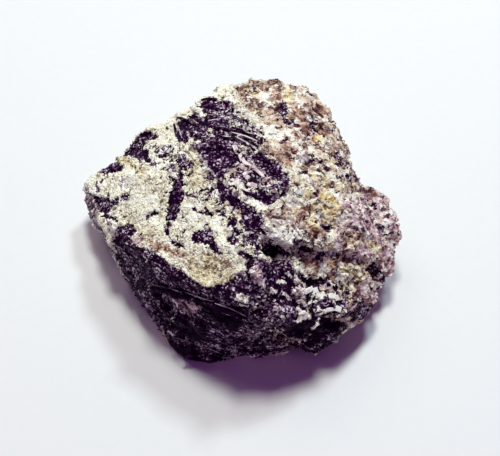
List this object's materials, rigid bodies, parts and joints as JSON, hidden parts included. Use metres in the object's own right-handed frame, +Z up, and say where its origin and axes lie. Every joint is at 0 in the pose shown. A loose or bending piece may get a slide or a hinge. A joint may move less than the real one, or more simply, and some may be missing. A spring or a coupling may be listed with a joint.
{
  "type": "black tourmaline",
  "caption": "Hand specimen of black tourmaline: prismatic schorl columns in a rough broken lump of pale feldspar and brown mica, resting on its flat underside.",
  "frame": {"origin": "the middle of the stone's box, on the level of the flat underside it rests on", "axes": "+X along the stone's longest side, +Y towards its back, +Z up"},
  "size_m": [0.0576, 0.0498, 0.0307],
  "materials": {
    "stone": "rough broken stone, glassy black columns in pale sugary rock"
  },
  "bodies": {
    "root": {"tourmaline_rock": "stone"}
  },
  "joints": []
}
